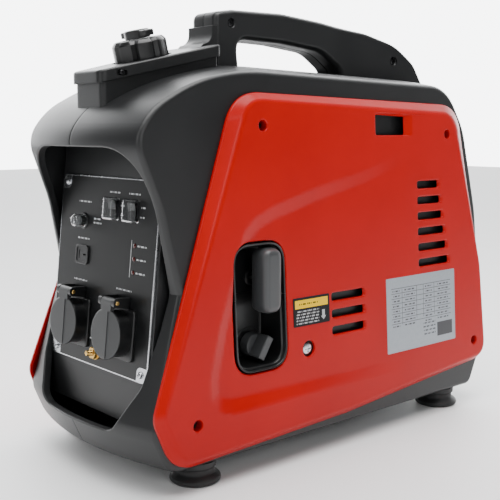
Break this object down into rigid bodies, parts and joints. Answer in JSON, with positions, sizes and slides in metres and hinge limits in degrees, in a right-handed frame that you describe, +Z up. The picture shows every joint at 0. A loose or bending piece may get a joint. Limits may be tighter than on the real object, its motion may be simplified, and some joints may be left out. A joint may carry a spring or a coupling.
{
  "type": "portable generator",
  "caption": "Suitcase-style portable inverter generator with red side covers, a tilted front control panel, a carrying handle and rubber feet.",
  "frame": {"origin": "on the floor, under the middle of the case", "axes": "+Z up, -X towards the control panel end, -Y towards the starter side"},
  "size_m": [0.5206, 0.255, 0.4553],
  "materials": {
    "charcoal_plastic": "fine moulded grain, satin",
    "red_cover_plastic": "smooth semi-gloss moulded red",
    "satin_black_plastic": "satin moulded black",
    "grey_plastic": "satin moulded grey",
    "clear_boot": "clear soft plastic",
    "steel": "zinc plated",
    "brass": "turned",
    "cast_aluminium": "as cast",
    "cast_iron": "as cast",
    "copper_winding": "enamelled wire",
    "rope": "braided",
    "rating_plate": "satin silver foil",
    "caution_label": "printed foil",
    "lamp_lens": "tinted lens",
    "rubber": "moulded rubber"
  },
  "bodies": {
    "generator_body": {"case_half_starter_side": "charcoal_plastic", "case_half_service_side": "charcoal_plastic", "panel_bulkhead": "charcoal_plastic", "top_cover": "charcoal_plastic", "handle_half_starter_side": "charcoal_plastic", "handle_half_service_side": "charcoal_plastic", "starter_side_cover": "red_cover_plastic", "service_side_cover": "red_cover_plastic", "control_panel": "satin_black_plastic", "mains_socket_left": "satin_black_plastic", "mains_socket_right": "satin_black_plastic", "dc_socket": "satin_black_plastic", "starter_pocket_upper": "satin_black_plastic", "starter_pocket_lower": "satin_black_plastic", "recoil_housing": "satin_black_plastic", "air_filter_box": "satin_black_plastic", "fuel_tank": "satin_black_plastic", "oil_filler_cap": "grey_plastic", "economy_switch_boot": "clear_boot", "engine_switch_boot": "clear_boot", "breaker_boot": "clear_boot", "panel_screw_1": "steel", "panel_screw_2": "steel", "panel_screw_3": "steel", "panel_screw_4": "steel", "cover_lock_screw": "steel", "filler_neck": "steel", "exhaust_outlet": "steel", "spark_plug": "steel", "lid_hinge_pin_left": "brass", "lid_hinge_pin_right": "brass", "earth_terminal": "brass", "base_tray": "cast_aluminium", "engine_block": "cast_aluminium", "finned_cylinder": "cast_aluminium", "carburettor": "cast_aluminium", "inverter_module": "cast_aluminium", "muffler": "cast_iron", "alternator_stator": "copper_winding", "rating_plate": "rating_plate", "caution_label": "caution_label", "output_lamp": "lamp_lens", "overload_lamp": "lamp_lens", "oil_level_lamp": "lamp_lens", "foot_front_starter_side": "rubber", "foot_rear_starter_side": "rubber", "foot_front_service_side": "rubber", "foot_rear_service_side": "rubber"},
    "fuel_cap_body": {"fuel_cap": "satin_black_plastic"},
    "vent_knob_body": {"cap_vent_knob": "satin_black_plastic"},
    "economy_rocker_body": {"economy_switch_rocker": "satin_black_plastic"},
    "engine_rocker_body": {"engine_switch_rocker": "satin_black_plastic"},
    "breaker_button_body": {"breaker_button": "grey_plastic"},
    "left_lid_body": {"socket_lid_left": "satin_black_plastic"},
    "right_lid_body": {"socket_lid_right": "satin_black_plastic"},
    "choke_knob_body": {"choke_knob": "grey_plastic"},
    "starter_grip_body": {"starter_grip": "grey_plastic", "starter_rope": "rope"},
    "recoil_pulley_body": {"recoil_pulley": "grey_plastic"},
    "crankshaft_body": {"crankshaft_and_flywheel": "cast_iron"}
  },
  "joints": [
    {"name": "fuel_cap_turn", "type": "hinge", "parent": "generator_body", "child": "fuel_cap_body", "pos_m": [-0.1716, 0, 0.39986], "axis": [-0.2249, 0, 0.9744], "range_deg": [0, 90]},
    {"name": "vent_knob_turn", "type": "hinge", "parent": "fuel_cap_body", "child": "vent_knob_body", "pos_m": [-0.1716, 0, 0.39986], "axis": [-0.2249, 0, 0.9744], "range_deg": [0, 90]},
    {"name": "economy_switch_tilt", "type": "hinge", "parent": "generator_body", "child": "economy_rocker_body", "pos_m": [-0.21519, -0.0126, 0.25527], "axis": [0, -1, 0], "range_deg": [-16, 0]},
    {"name": "engine_switch_tilt", "type": "hinge", "parent": "generator_body", "child": "engine_rocker_body", "pos_m": [-0.21519, -0.0465, 0.25527], "axis": [0, -1, 0], "range_deg": [-16, 0]},
    {"name": "breaker_press", "type": "slide", "parent": "generator_body", "child": "breaker_button_body", "axis": [0.994, 0, -0.1089], "range_m": [0, 0.003], "stiffness_N_per_m": 400},
    {"name": "left_lid_swing", "type": "hinge", "parent": "generator_body", "child": "left_lid_body", "pos_m": [-0.23927, 0.0398, 0.17139], "axis": [0, 1, 0], "range_deg": [0, 110], "stiffness_Nm_per_rad": 0.02},
    {"name": "right_lid_swing", "type": "hinge", "parent": "generator_body", "child": "right_lid_body", "pos_m": [-0.23927, -0.0398, 0.17139], "axis": [0, 1, 0], "range_deg": [0, 110], "stiffness_Nm_per_rad": 0.02},
    {"name": "choke_turn", "type": "hinge", "parent": "generator_body", "child": "choke_knob_body", "pos_m": [-0.108, -0.1, 0.119], "axis": [0, 1, 0], "range_deg": [0, 90]},
    {"name": "starter_pull", "type": "slide", "parent": "generator_body", "child": "starter_grip_body", "axis": [0, -1, 0], "range_m": [0, 0.19], "stiffness_N_per_m": 30},
    {"name": "recoil_spin", "type": "hinge", "parent": "generator_body", "child": "recoil_pulley_body", "pos_m": [-0.106, 0, 0.148], "axis": [1, 0, 0], "range_deg": [0, 300]},
    {"name": "crankshaft_spin", "type": "hinge", "parent": "generator_body", "child": "crankshaft_body", "pos_m": [0, 0, 0.148], "axis": [1, 0, 0], "continuous": true}
  ],
  "couplings": [
    {"joint": "recoil_spin", "follows": "starter_pull", "rad_per_m": 26.316}
  ]
}
